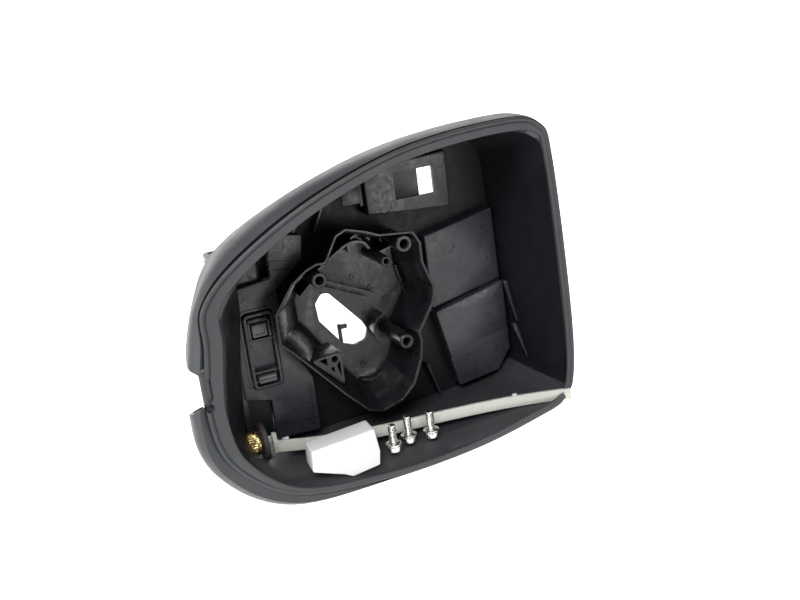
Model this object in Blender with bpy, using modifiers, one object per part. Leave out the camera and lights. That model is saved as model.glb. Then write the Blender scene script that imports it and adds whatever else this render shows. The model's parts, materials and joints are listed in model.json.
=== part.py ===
"""Right-hand door mirror head with its glass and drive taken out, on its folding foot.

Lengths are millimetres in head coordinates, and MM turns them into Blender's metres:
X runs outboard, Y towards the front of the car, Z up, from the middle of the rim's plane.
The model's own origin is the middle of the face that the foot presses on the door's shoulder.
"""
import math

import bmesh
import bpy
from mathutils import Matrix, Vector

MM = 0.001
GAP = 0.4                                # between pieces that touch
DOOR_FACE = Vector((-79.0, 124.0, -128.0))
FOLD_AXIS = (-79.0, 84.0)                # the head turns about this upright line
WALL = 2.4

# Rim of the mirror opening (X, Z), from the inboard point over the top, and the end of its throat.
RIM = [(-118, -2), (-115, 21.5), (-92, 43.7), (-45, 69.2), (14, 88.2), (77, 93.9), (103.5, 88),
       (110.5, 64), (115, -26), (113.7, -74), (106, -92), (85, -99.4), (41, -108.2), (-15, -111.5),
       (-79, -104.5), (-114, -76.5), (-123, -43)]
THROAT = [(-84, -4), (-81.5, 16), (-68, 37), (-34, 58), (14, 72.6), (72, 78), (90, 72), (97, 54),
          (99.5, -26), (101, -74), (94, -86), (80, -92), (40, -97), (-15, -97.5), (-74, -98.5),
          (-91, -83), (-91, -50)]
SPAN_STEPS = 6                           # points on each span of the rim

# Each ring of the throat: depth Y, then its share at the inboard, outboard, top and low side.
THROAT_RINGS = [(3, (.36, .30, .29, .32)), (9, (.45, .38, .38, .80)), (26, (.66, .58, .60, .95)),
                (45, (.86, .80, .82, 1.0))]
THROAT_DEPTH = (58, 73, 73, 73)
FACE_WIDTH = (11, 3.0, 3.2, 3.0)
FACE_BACK = (.38, .33, .32, .50)         # share at which the face's back meets the wall
# Each ring of the skin: depth Y by side, then how far outside the rim it is at each rim point.
SKIN_RINGS = [((3, 3, 3, 2), (1.5, .6, 1.2, 1, .6, .3, .2, -.4, 0, .6, .6, .6, .3, .5, 5, 6.3, 4)),
              ((10, 10, 10, 9), (6.2, 2.2, 5, 4.6, 1.5, .8, 1, 0, .6, .8, 1, 1.2, 1.8, 3.5, 9.5, 10.5,
                                 7.8)),
              ((25, 25, 25, 24), (4.8, -1.2, 4.2, 3.4, -.2, .4, .8, -.4, .2, .4, 1.5, 2.5, 4, 6.5, 11,
                                  11, 7)),
              ((46, 46, 46, 45), (.8, -6.5, -1.4, -2.6, -5.2, -3.4, -3, -3, -2.8, -2.5, -.5, 1, 2.5,
                                  4.5, 6, 6, 4)),
              ((60, 74, 75, 72), (-4, -9, -6.5, -9, -9.8, -7.5, -5.5, -5, -5, -5, -3, -1, .5, 1.5,
                                  2, 1.5, 0)),
              ((66, 86, 84, 82), (-7, -12, -10, -12.5, -13, -10, -7, -7, -8, -8, -6, -4, -2.5,
                                  -1.5, -1, -2, -4))]
SPLIT_LEFT, SPLIT_RIGHT = (-126, -25), (115, -84)    # parting line of the two skins
NOTCH = [(-140, -11), (-127, -16), (-119, -19.5), (-119, -29.5), (-128, -34), (-140, -37)]
NOTCH_BACK = [(-126, -11), (-112, -14), (-103, -20), (-103, -58), (-113, -62), (-126, -65)]

PANEL_NEAR, PANEL_FAR = 74.0, 77.0
PANEL_LEFT, HOUSING_ROOM = -63.3, 34.6   # the panel leaves this corner to the fold housing
BRACKET_NEAR, BRACKET_FAR = 40.0, 79.0
BRACKET = [(-31, 22), (-22, 37), (-14.5, 40), (-2, 36), (7, 32), (29.5, 29.5), (34, 21), (34, 8),
           (40, -10.5), (38, -20), (26, -38), (27, -44), (25, -56), (18, -72), (8, -81), (-6, -85),
           (-16, -82), (-31, -66), (-60, -31), (-67, -24), (-67, -4), (-54, 13), (-43.5, 20),
           (-36, 22.5)]
WIRE_HOLE = [(-31, -14), (-26, -8), (-21, -9), (-1, -33), (2, -39), (0, -46), (-8, -48),
             (-16, -45), (-30, -26)]
BOSSES = [(-35.8, 11.3, 5.0, 2.3, 62), (22, 22.4, 5.4, 2.6, 66), (8.9, 13.8, 3.4, 1.5, 77.4),
          (15.5, -41.2, 4.9, 2.3, 77.4)]       # X, Z, outer radius, bore radius, depth of its foot

STRIP_ROUTE = [(-78.5, 45), (-50, 33), (-12, 24.5), (28, 20.5), (65, 14.5), (92, 7), (109.5, .6)]
STRIP_LOW, STRIP_HIGH, STRIP_THICK = -93.5, -86.0, 2.4

SCREWS = [(-13, 9.5, -98.6), (-.7, 14.5, -98), (14, 12.5, -98)]
SCREW_HEAD, SCREW_SHANK, WASHER = (4.25, 4.6), (2.5, 13.5), (5.1, 2.8, 1.1)

HOUSING = (-94, -64, 67.5, 99, -51, 26)
SHAFT_OUTER, SHAFT_BORE = 7.0, 4.5
NECK_SCREWS = [(-41, 1), (-41, -24)]
FLANGE = (-106, 97, -52, 152)
INSERT_CIRCLE = 21.0                     # radius that the flange's three inserts stand on
GASKET_THICK = 1.6


def place(x, y, z):
    """A point in head millimetres as a point in the scene."""
    return (Vector((x, y, z)) - DOOR_FACE) * MM


def clear_scene():
    for thing in list(bpy.data.objects):
        bpy.data.objects.remove(thing, do_unlink=True)


def collection(name):
    group = bpy.data.collections.get(name) or bpy.data.collections.new(name)
    if name not in bpy.context.scene.collection.children:
        bpy.context.scene.collection.children.link(group)
    return group


def finish(name, colour, roughness, metallic=0.0):
    """The plain Principled material of one piece."""
    material = bpy.data.materials.new(name)
    material.use_nodes = True
    shader = material.node_tree.nodes["Principled BSDF"]
    shader.inputs["Base Color"].default_value = (*colour, 1.0)
    shader.inputs["Roughness"].default_value = roughness
    shader.inputs["Metallic"].default_value = metallic
    return material


# ---------------------------------------------------------------- making solids

def add_mesh(name, mesh):
    thing = bpy.data.objects.new(name, mesh)
    collection("mirror").objects.link(thing)
    return thing


def spline(points, steps, closed=True):
    """A smooth curve through the points, with the same number of steps on every span."""
    count = len(points)
    spans = count if closed else count - 1
    line = []
    for i in range(spans):
        if closed:
            four = [Vector(points[(i + k) % count]) for k in (-1, 0, 1, 2)]
        else:
            four = [Vector(points[min(max(i + k, 0), count - 1)]) for k in (-1, 0, 1, 2)]
        for step in range(steps):
            t = step / steps
            line.append(0.5 * (2 * four[1] + (four[2] - four[0]) * t
                               + (2 * four[0] - 5 * four[1] + 4 * four[2] - four[3]) * t * t
                               + (3 * four[1] - four[0] - 3 * four[2] + four[3]) * t ** 3))
    if not closed:
        line.append(Vector(points[-1]))
    return line


def rounded(corners, radius, steps=3):
    """A polygon with each corner turned into an arc, as large as its two sides allow."""
    points = []
    count = len(corners)
    for i in range(count):
        before, corner, after = (Vector(corners[(i + k) % count]) for k in (-1, 0, 1))
        into, out = (corner - before), (after - corner)
        half = into.angle(out) / 2
        reach = min(radius * math.tan(half), into.length * 0.45, out.length * 0.45)
        start = corner - into.normalized() * reach
        end = corner + out.normalized() * reach
        for step in range(steps + 1):
            t = step / steps
            points.append(start.lerp(corner, t).lerp(corner.lerp(end, t), t))
    return points


def offset(points, distance):
    """Moves a closed outline outwards by a distance; a negative one moves it inwards."""
    count = len(points)
    area = sum(points[i - 1][0] * points[i][1] - points[i][0] * points[i - 1][1]
               for i in range(count))
    side = 1 if area > 0 else -1
    moved = []
    for i in range(count):
        before, here, after = (Vector(points[(i + k) % count]) for k in (-1, 0, 1))
        normals = [Vector((run[1], -run[0])).normalized() * side
                   for run in (here - before, after - here)]
        middle = (normals[0] + normals[1]).normalized()
        moved.append(here + middle * distance / max(middle.dot(normals[0]), 0.5))
    return moved


def loft(name, rings, closed_section):
    """A solid through rings of equally many points: a closed tube, or one with two caps."""
    form = bmesh.new()
    loops = [[form.verts.new(place(*point)) for point in ring] for ring in rings]
    pairs = list(zip(loops, loops[1:] + loops[:1])) if closed_section else \
        list(zip(loops, loops[1:]))
    for one, two in pairs:
        for i in range(len(one)):
            form.faces.new((one[i - 1], one[i], two[i], two[i - 1]))
    if not closed_section:
        form.faces.new(loops[0])
        form.faces.new(loops[-1])
    bmesh.ops.recalc_face_normals(form, faces=form.faces)
    mesh = bpy.data.meshes.new(name)
    form.to_mesh(mesh)
    form.free()
    return add_mesh(name, mesh)


TURNS = {"XZ": Matrix.Rotation(math.radians(90), 4, "X"), "XY": Matrix.Identity(4),
         "YZ": Matrix(((0, 0, 1, 0), (1, 0, 0, 0), (0, 1, 0, 0), (0, 0, 0, 1)))}


def plate(name, outlines, low, high, plane="XZ"):
    """Flat outlines filled, with the later ones as holes, between two levels across a plane."""
    curve = bpy.data.curves.new(name, "CURVE")
    curve.dimensions = "2D"
    curve.fill_mode = "BOTH"
    curve.extrude = (high - low) / 2 * MM
    for outline in outlines:
        line = curve.splines.new("POLY")
        line.points.add(len(outline) - 1)
        for point, (a, b) in zip(line.points, outline):
            point.co = (a * MM, b * MM, 0, 1)
        line.use_cyclic_u = True
    flat = add_mesh(name + "_outline", curve)
    middle = (low + high) / 2
    across = {"XZ": (0, middle, 0), "XY": (0, 0, middle), "YZ": (middle, 0, 0)}[plane]
    flat.matrix_world = Matrix.Translation(place(*across)) @ TURNS[plane]
    return solid_from_curve(name, flat)


def solid_from_curve(name, source):
    """The curve's own solid as a welded mesh, in place of the curve."""
    bpy.context.view_layer.update()
    graph = bpy.context.evaluated_depsgraph_get()
    mesh = bpy.data.meshes.new_from_object(source.evaluated_get(graph))
    mesh.transform(source.matrix_world)
    form = bmesh.new()
    form.from_mesh(mesh)
    bmesh.ops.remove_doubles(form, verts=form.verts, dist=0.00001)
    bmesh.ops.recalc_face_normals(form, faces=form.faces)
    form.to_mesh(mesh)
    form.free()
    bpy.data.objects.remove(source, do_unlink=True)
    mesh.name = name
    return add_mesh(name, mesh)


def box(name, low, high):
    """An upright box between two corners."""
    form = bmesh.new()
    size = Vector(high) - Vector(low)
    bmesh.ops.create_cube(form, size=1.0, matrix=Matrix.Diagonal((*(size * MM), 1.0)))
    mesh = bpy.data.meshes.new(name)
    form.to_mesh(mesh)
    form.free()
    thing = add_mesh(name, mesh)
    thing.location = place(*((Vector(low) + Vector(high)) / 2))
    return thing


def turned(name, profile, centre, axis="Z", steps=32):
    """Turns a closed section (radius, height), outer side downwards, about an axis."""
    mesh = bpy.data.meshes.new(name)
    points = [(radius * MM, 0, height * MM) for radius, height in profile]
    on_axis = profile[0][0] == 0
    edges = [(i, i + 1) for i in range(len(points) - 1)]
    if not on_axis:
        edges.append((len(points) - 1, 0))
    mesh.from_pydata(points, edges, [])
    thing = add_mesh(name, mesh)
    thing.location = place(*centre)
    turns = {"Z": (0, 0, 0), "Y": (math.radians(-90), 0, 0), "X": (0, math.radians(90), 0)}
    thing.rotation_euler = turns[axis]
    screw = thing.modifiers.new("turn", "SCREW")
    screw.steps = screw.render_steps = steps
    screw.use_merge_vertices = True
    screw.merge_threshold = 0.00001
    return thing


def ring(name, outer, inner, low, high, centre, axis="Z", steps=32):
    return turned(name, [(outer, high), (outer, low), (inner, low), (inner, high)],
                  centre, axis, steps)


def rod(name, radius, low, high, centre, axis="Z", steps=24):
    return turned(name, [(0, high), (radius, high), (radius, low), (0, low)],
                  centre, axis, steps)


def combine(target, others, operation):
    """Joins or cuts a solid with others, which then stay hidden as its tools."""
    for other in others:
        step = target.modifiers.new(other.name, "BOOLEAN")
        step.operation = operation
        step.solver = "EXACT"
        step.object = other
        other.name = target.name + "_tool"
        other.hide_render = True
        other.display_type = "WIRE"
        for group in list(other.users_collection):
            group.objects.unlink(other)
        collection("cutters").objects.link(other)
    return target


# ---------------------------------------------------------------- the head's walls

def rim_samples():
    """Points of the rim and throat, with the rim's outward normal as shares of its four sides."""
    rim, throat = spline(RIM, SPAN_STEPS), spline(THROAT, SPAN_STEPS)
    samples = []
    for i, point in enumerate(rim):
        along = rim[(i + 1) % len(rim)] - rim[i - 1]
        normal = Vector((-along.y, along.x)).normalized()
        shares = [max(part, 0) ** 2 for part in (-normal.x, normal.x, normal.y, -normal.y)]
        samples.append((point, throat[i], normal, shares))
    return samples


def by_side(values, shares):
    return sum(value * share for value, share in zip(values, shares))


def offset_ring(depths, outsets):
    """A ring at a distance outside the rim, with both set for each of the four sides."""
    points = []
    for rim, _, normal, shares in rim_samples():
        spot = rim + normal * by_side(outsets, shares)
        points.append((spot.x, by_side(depths, shares), spot.y))
    return points


def throat_ring(depths, fractions, outset=0.0):
    """A ring part of the way from the rim to the throat's end."""
    points = []
    for rim, throat, normal, shares in rim_samples():
        spot = rim.lerp(throat, by_side(fractions, shares)) + normal * outset
        points.append((spot.x, by_side(depths, shares), spot.y))
    return points


def all_sides(value):
    return (value, value, value, value)


def make_bezel_frame():
    """The rim's face and the tapering wall behind it, in one moulding."""
    face = [offset_ring(all_sides(2.2), all_sides(-.3)), offset_ring(all_sides(.2), all_sides(-1.2)),
            offset_ring(all_sides(.8), [-width for width in FACE_WIDTH])]
    inside = [throat_ring(all_sides(depth), parts) for depth, parts in THROAT_RINGS]
    end = [throat_ring(THROAT_DEPTH, all_sides(1)), throat_ring(THROAT_DEPTH, all_sides(1), WALL)]
    outside = [throat_ring(all_sides(depth + 1), parts, WALL)
               for depth, parts in reversed(THROAT_RINGS[1:])]
    back = [throat_ring(all_sides(5.5), FACE_BACK, WALL),
            offset_ring(all_sides(3.4), all_sides(-1.2))]
    return loft("bezel_frame", face + inside + end + outside + back, True)


def skin_ring(depths, outsets, thickness=0.0):
    """A ring of the skin at its own distance outside each of the rim's points."""
    along = spline([(value, 0) for value in outsets], SPAN_STEPS)
    points = []
    for (rim, _, normal, shares), outset in zip(rim_samples(), along):
        spot = rim + normal * (outset.x - thickness)
        points.append((spot.x, by_side(depths, shares), spot.y))
    return points


def make_skin(name):
    """The outer skin of the head, from the groove behind the rim to its open back."""
    outer = [skin_ring(depths, outsets) for depths, outsets in SKIN_RINGS]
    inner = [skin_ring(depths, outsets, WALL) for depths, outsets in reversed(SKIN_RINGS[1:])]
    lip = [offset_ring(all_sides(6.4), (-1.2, -1.2, -1.2, -.5)),
           offset_ring(all_sides(4.2), (-.9, -.9, -.9, -.3))]
    return loft(name, outer + inner + lip, True)


def side_of_split(name, above):
    """A large box on one side of the parting line of the skins."""
    left, right = Vector(SPLIT_LEFT), Vector(SPLIT_RIGHT)
    along = (right - left).normalized()
    up = Vector((-along.y, along.x)) * (1 if above else -1)
    base = [left - along * 60 + up * GAP / 2, right + along * 60 + up * GAP / 2]
    far = [base[1] + up * 300, base[0] + up * 300]
    return plate(name, [base + far], -30, 130)


def notch_tool(name):
    """The cut in the inboard edge of the rim and skin, wider towards the back."""
    rings = [[(x, depth, z) for x, z in rounded(corners, 3)]
             for corners, depth in ((NOTCH, -6), (NOTCH_BACK, 75))]
    return loft(name, rings, False)


def make_skins():
    upper = combine(make_skin("upper_shell"), [side_of_split("above", True)], "INTERSECT")
    room = box("housing_room", (-130, 65.5, -120), (-62, 120, 42))
    combine(upper, [notch_tool("notch_upper"), room], "DIFFERENCE")
    lower = combine(make_skin("lower_shell"), [side_of_split("below", False)], "INTERSECT")
    combine(lower, [notch_tool("notch_lower"), strip_tool("strip_lower")], "DIFFERENCE")
    return upper, lower


def rectangle(low_a, low_b, high_a, high_b):
    return [(low_a, low_b), (high_a, low_b), (high_a, high_b), (low_a, high_b)]


def tray(name, outline, near, far, holes=(), wall=WALL):
    """A flat front with a wall round it that runs back."""
    inside = plate(name + "_inside", [offset(outline, -wall)], near + wall, far + 5)
    return combine(plate(name, [outline, *holes], near, far), [inside], "DIFFERENCE")


def make_back_panel():
    """The wall at the end of the throat, with its raised panels and windows."""
    edge = [(x, z) for x, _, z in throat_ring(all_sides(0), all_sides(1), .2)]
    kept = [(x, z) for x, z in edge if x > PANEL_LEFT or z > HOUSING_ROOM]
    edge = kept + [(PANEL_LEFT, kept[-1][1]), (PANEL_LEFT, HOUSING_ROOM)]
    opening = offset(rounded(bracket_at(PANEL_NEAR), 3), .8)
    top = [(8, 40), (65, 36), (66, 72.4), (8, 69.4)]
    window = rectangle(44.8, 46.5, 55, 64)
    upper = [(45.5, 18), (96.5, 28), (97.5, -22), (45.5, -32.5)]
    lower = [(46, -34), (97.5, -22.5), (98.5, -72), (88, -86), (58, -90)]
    backs = [offset(outline, -WALL - .8) for outline in (top, upper, lower)]
    panel = plate("back_panel", [edge, opening, *backs], PANEL_NEAR, PANEL_FAR)
    blocks = [tray("top_block", top, 60, PANEL_NEAR + 1, [window]),
              tray("upper_block", upper, 64, PANEL_NEAR + 1),
              tray("lower_block", lower, 60, PANEL_NEAR + 1),
              box("ledge", (55, 60.5, 46.5), (56.5, PANEL_NEAR + 1, 64))]
    return combine(panel, blocks, "UNION")


def make_inboard_carrier():
    """The plate beside the bracket that carries the socket."""
    outline = [(-85.5, 11.5), (-61.5, 14), (-59.5, 42), (-47.5, 39.5), (-46.5, 25), (-58.5, 6),
               (-58.5, -28), (-44, -56), (-44.5, -93), (-74, -92), (-73.5, -65), (-90, -61),
               (-89, -25)]
    socket = rounded(rectangle(-84, -55.6, -63.4, -4.4), 4)
    return tray("inboard_carrier", outline, 60, 66, [socket], wall=1.8)


# ---------------------------------------------------------------- the bracket

def bracket_at(depth):
    """The bracket's outline at a depth: its walls lean in, most of all on the inboard side."""
    share = (depth - BRACKET_NEAR) / (BRACKET_FAR - BRACKET_NEAR)
    line = []
    for x, z in BRACKET:
        lean = .34 if x < -6 else .14
        line.append((x - (x + 6) * lean * share, z - (z + 22) * .14 * share))
    return line


def bracket_ring(depth, inset):
    line = rounded(offset(bracket_at(depth), -inset), 3, 2)
    return [(x, depth, z) for x, z in line]


def make_bracket():
    """The deep glossy pan that holds the glass drive and the fold unit."""
    floor = BRACKET_FAR - WALL
    rings = [bracket_ring(BRACKET_FAR, 0), bracket_ring(BRACKET_NEAR, 0),
             bracket_ring(BRACKET_NEAR, 2), bracket_ring(floor, 2.6)]
    pan = loft("bracket", rings, False)
    cut = [plate("wire_hole", [rounded(WIRE_HOLE, 4)], floor - 8, BRACKET_FAR + 8)]
    combine(pan, cut, "DIFFERENCE")
    posts = [rod("boss", outer, BRACKET_NEAR - .5, end, (x, 0, z), "Y")
             for x, z, outer, _, end in BOSSES]
    web = [(-49, -39), (-28, -37.5), (-28.5, -61)]
    ribs = [[(-30, 5.5), (8, -13), (8, -15), (-30, 3.5)], [(-31, 1), (3, -15.5), (3, -17), (-31, -.5)]]
    adds = posts + [plate("rib_web", [rounded(web, 2)], 42, 66)]
    adds += [plate("rib", [rib], 68, floor + 1) for rib in ribs]
    combine(pan, adds, "UNION")
    bores = [rod("bore", bore, BRACKET_NEAR - 1, BRACKET_NEAR + 18, (x, 0, z), "Y")
             for x, z, _, bore, _ in BOSSES]
    pockets = [[(-43.5, -40), (-38.5, -39.4), (-38.5, -45)], [(-36.5, -39.4), (-30, -39.6), (-33, -44)],
               [(-37, -46.5), (-34.5, -46), (-34, -51)], [(-32.5, -46), (-30, -42), (-30.2, -56)]]
    bores += [plate("pocket", [pocket], 41, 54) for pocket in pockets]
    return combine(pan, bores, "DIFFERENCE")


def make_cable_hook():
    """The sprung post behind the wire hole."""
    base = box("cable_hook", (-19, BRACKET_FAR + GAP, -61), (-11, BRACKET_FAR + 3, -50))
    post = box("hook_post", (-17, BRACKET_FAR + 1.5, -52), (-14.5, BRACKET_FAR + 4, -33))
    head = box("hook_head", (-16, BRACKET_FAR + 1, -36), (-10.5, BRACKET_FAR + 3.5, -33.4))
    return combine(base, [post, head], "UNION")


# ---------------------------------------------------------------- socket and clips

def make_socket():
    """The rounded socket in the inboard carrier, with its two latches."""
    outer = rounded(rectangle(-83.5, -55, -64, -5), 4)
    frame = plate("socket_frame", [outer], 57, 67)
    combine(frame, [plate("pocket", [offset(outer, -2)], 50, 64.5)], "DIFFERENCE")
    bars = [box("bar", (-83, 59.5, z), (-64.5, 66, z + 1.6)) for z in (-24, -45.5)]
    combine(frame, bars, "UNION")
    upper = box("socket_latch_upper", (-78.5, 58.2, -21), (-69, 64.1, -13))
    lower = box("socket_latch_lower", (-79.5, 57.6, -51.5), (-68, 64.1, -47))
    return frame, upper, lower


def make_cap_clip():
    """The square clip that holds the outer cap, with its stem back to the panel."""
    clip = box("cap_clip", (-8.3, 59, 49), (4.6, 61.5, 60.5))
    stem = box("clip_stem", (3.4, 59, 47), (5.6, PANEL_NEAR - GAP, 63))
    return combine(clip, [stem], "UNION")


# ---------------------------------------------------------------- lights

def strip_outline(thickness):
    """The light strip's plan: its route with half the thickness on each side."""
    route = spline(STRIP_ROUTE, 4, closed=False)
    left, right = [], []
    for i, point in enumerate(route):
        along = route[min(i + 1, len(route) - 1)] - route[max(i - 1, 0)]
        side = Vector((-along.y, along.x)).normalized() * thickness / 2
        left.append(point + side)
        right.append(point - side)
    return left + right[::-1]


def strip_tool(name):
    """Room for the strip's outboard end in the rim, open to the front."""
    channel = strip_outline(STRIP_THICK + 1.6)
    half = len(channel) // 2
    middle = half // 2
    corners = channel[middle:half] + [(118, 1.6), (118, -5), (106, -5)] + channel[half:-middle]
    return plate(name, [corners], STRIP_LOW - .8, STRIP_HIGH + .8, "XY")


def make_light_guide():
    strip = plate("light_guide", [strip_outline(STRIP_THICK)], STRIP_LOW, STRIP_HIGH, "XY")
    tab = box("tab", (-80.5, 44, -94), (-77.5, 47.5, -80.5))
    nub = box("nub", (73, 11.6, STRIP_HIGH - 1), (76, 13.4, STRIP_HIGH + 1.4))
    return combine(strip, [tab, nub], "UNION")


def make_light_module():
    """The white module in front of the strip: its back is higher, over the rising floor."""
    front = [(-66.8, -80.5), (-67.8, -94), (-48.5, -101.2), (-43.5, -104), (-25.5, -101.5),
             (-24.3, -92.5), (-26.2, -77)]
    back = [(x, max(z, -95.2) + 1) for x, z in front]
    rings = [[(x, depth, z) for x, z in rounded(line, 1.5, 2)]
             for line, depth in ((front, 3.2), (back, 17))]
    return loft("light_module", rings, False)


def make_lamp():
    """The lamp in the inboard end: a brass sleeve and its dark seal."""
    centre = (0, 45, -84)
    sleeve = ring("lamp_sleeve", 7.5, 5.6, -98, -88.4, centre, "X")
    seal = ring("lamp_seal", 11.6, 8.4, -88, -84.6, centre, "X")
    return sleeve, seal


def lamp_tool(name):
    return rod(name, 12.2, -112, -80, (0, 45, -84), "X")


# ---------------------------------------------------------------- fasteners

def make_screw(number, x, y, z):
    """A loose cap screw that stands on its head, and its washer."""
    head_radius, head_height = SCREW_HEAD
    radius, length = SCREW_SHANK
    outer, hole, thick = WASHER
    top = head_height + length
    profile = [(0, top), (radius - .5, top), (radius, top - .6), (radius, head_height),
               (head_radius, head_height), (head_radius, .4), (head_radius - .4, 0), (2.2, 0),
               (2.2, 2.4), (0, 2.4)]
    screw = turned(f"head_screw_{number}", profile, (x, y, z), steps=24)
    low = head_height + .3
    washer = ring(f"head_washer_{number}", outer, hole, low, low + thick, (x, y, z), steps=24)
    return screw, washer


def make_neck_screw(name, x, z):
    """A screw that fastens the fold unit's neck to the back of the bracket."""
    profile = [(0, 88.8), (3.6, 88.8), (4.2, 88), (4.2, 86.4), (2, 86.4), (2, 79.8), (0, 79.8)]
    return turned(name, profile, (x, 0, z), "Y", 20)


# ---------------------------------------------------------------- fold unit and foot

def make_fold_housing():
    """The block on the head that turns about the shaft, with a neck to the bracket."""
    left, right, front, back, low, high = HOUSING
    plan = rounded(rectangle(left, front, right, back), 5)
    block = plate("fold_housing", [plan], low, high, "XY")
    neck = plate("neck", [rounded([(-66.5, -46), (-36, -30), (-36, 8), (-66.5, 20)], 3)], 79.5, 86)
    combine(block, [neck], "UNION")
    centre = (*FOLD_AXIS, 0)
    stepped = [(0, high + 5), (12.4, high + 5), (12.4, low + 4), (SHAFT_OUTER + .3, low + 4),
               (SHAFT_OUTER + .3, low - 5), (0, low - 5)]
    bores = [turned("stepped_bore", stepped, centre)]
    bores += [rod("screw_bore", 2.3, 75, 90, (x, 0, z), "Y", 16) for x, z in NECK_SCREWS]
    return combine(block, bores, "DIFFERENCE")


def make_fold_cap():
    left, right, front, back, _, high = HOUSING
    plan = rounded(rectangle(left, front, right, back), 5)
    wire_way = round_outline(*FOLD_AXIS, 5)
    return plate("fold_housing_cap", [plan, wire_way], high + GAP, high + 4, "XY")


def make_pivot():
    """Everything on the fold axis, from the foot's disc upwards."""
    centre = (*FOLD_AXIS, 0)
    low = HOUSING[4]
    shaft = turned("pivot_shaft", [(SHAFT_OUTER, 22), (SHAFT_OUTER, low - 9), (14, low - 9),
                                   (14, low - 12.6), (SHAFT_BORE, low - 12.6), (SHAFT_BORE, 22)],
                   centre)
    lower_cam = ring("lower_cam_ring", 15, 7.4, low - 8.6, low - 4.6, centre)
    upper_cam = ring("upper_cam_ring", 15, 7.4, low - 4.3, low - .4, centre)
    washer = ring("spring_washer", 11.6, 7.3, 8, 10, centre)
    nut = turned("pivot_nut", [(11.6, 17), (11.6, 10.4), (8.6, 10.4), (8.6, 17)], centre, steps=6)
    return shaft, lower_cam, upper_cam, make_spring(low + 4 + GAP, 8 - GAP), washer, nut


def make_spring(low, high):
    """The spring that presses the two cam rings together."""
    turns, per_turn, wire, radius = 6, 12, 1.5, 9.7
    count = turns * per_turn + 1
    curve = bpy.data.curves.new("pivot_spring", "CURVE")
    curve.dimensions = "3D"
    curve.bevel_depth = wire * MM
    curve.bevel_resolution = 2
    curve.use_fill_caps = True
    line = curve.splines.new("POLY")
    line.points.add(count - 1)
    for i in range(count):
        angle = math.tau * i / per_turn
        height = low + wire + (high - low - 2 * wire) * i / (count - 1)
        spot = place(FOLD_AXIS[0] + radius * math.cos(angle),
                     FOLD_AXIS[1] + radius * math.sin(angle), height)
        line.points[i].co = (*spot, 1)
    return solid_from_curve("pivot_spring", add_mesh("spring_line", curve))


def insert_centres():
    """The three inserts, evenly round the middle of the flange."""
    turns = [math.radians(90 + 120 * k) for k in range(3)]
    return [(DOOR_FACE.x + INSERT_CIRCLE * math.cos(turn),
             DOOR_FACE.y + INSERT_CIRCLE * math.sin(turn)) for turn in turns]


def round_outline(x, y, radius, steps=20):
    turns = [math.tau * k / steps for k in range(steps)]
    return [(x + radius * math.cos(turn), y + radius * math.sin(turn)) for turn in turns]


def make_foot():
    """The foot that carries the fold shaft and stands on the door's shoulder."""
    x, y = FOLD_AXIS
    top = HOUSING[4] - 13
    face = DOOR_FACE.z + GASKET_THICK + GAP
    disc = rod("foot_base", 15.3, top - 12, top, (x, y, 0), steps=40)
    arm = [(-94, 84), (-95, 106), (-92, 142), (-66, 142), (-63, 106), (-64, 84)]
    arm = plate("arm", [rounded(arm, 8)], top - 24, top - 4, "XY")
    post = plate("post", [rounded(rectangle(-92.5, 104, -65.5, 143), 9)], face + 3, top - 8, "XY")
    flange = plate("flange", [rounded(rectangle(*FLANGE), 8)], face, face + 9, "XY")
    combine(disc, [arm, post, flange], "UNION")
    holes = [rod("insert_bore", 5.3, face - 1, face + 8, (a, b, 0)) for a, b in insert_centres()]
    holes.append(rod("cable_bore", SHAFT_BORE, top - 30, top + 2, (x, y, 0)))
    return combine(disc, holes, "DIFFERENCE")


def make_inserts():
    face = DOOR_FACE.z + GASKET_THICK + GAP
    return [ring(f"door_insert_{i + 1}", 5.0, 2.6, face, face + 7.6, (a, b, 0))
            for i, (a, b) in enumerate(insert_centres())]


def make_gasket():
    """The seal between the flange and the door, open over the three inserts."""
    holes = [round_outline(a, b, 5.6) for a, b in insert_centres()]
    outline = offset(rounded(rectangle(*FLANGE), 8), -.5)
    return plate("door_gasket", [outline, *holes], DOOR_FACE.z, DOOR_FACE.z + GASKET_THICK, "XY")


# ---------------------------------------------------------------- putting it together

def pivot(name, point):
    marker = bpy.data.objects.new(name, None)
    marker.empty_display_size = 0.02
    marker.location = place(*point)
    collection("mirror").objects.link(marker)
    return marker


def dress(pieces, material, parent):
    """Gives pieces their material and hangs them on their body's pivot, where they stand."""
    bpy.context.view_layer.update()
    for piece in pieces:
        piece.data.materials.clear()
        piece.data.materials.append(material)
        where = piece.matrix_world.copy()
        piece.parent = parent
        piece.matrix_world = where
        piece.data.shade_smooth()
        piece.data.set_sharp_from_angle(angle=math.radians(35))


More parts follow.
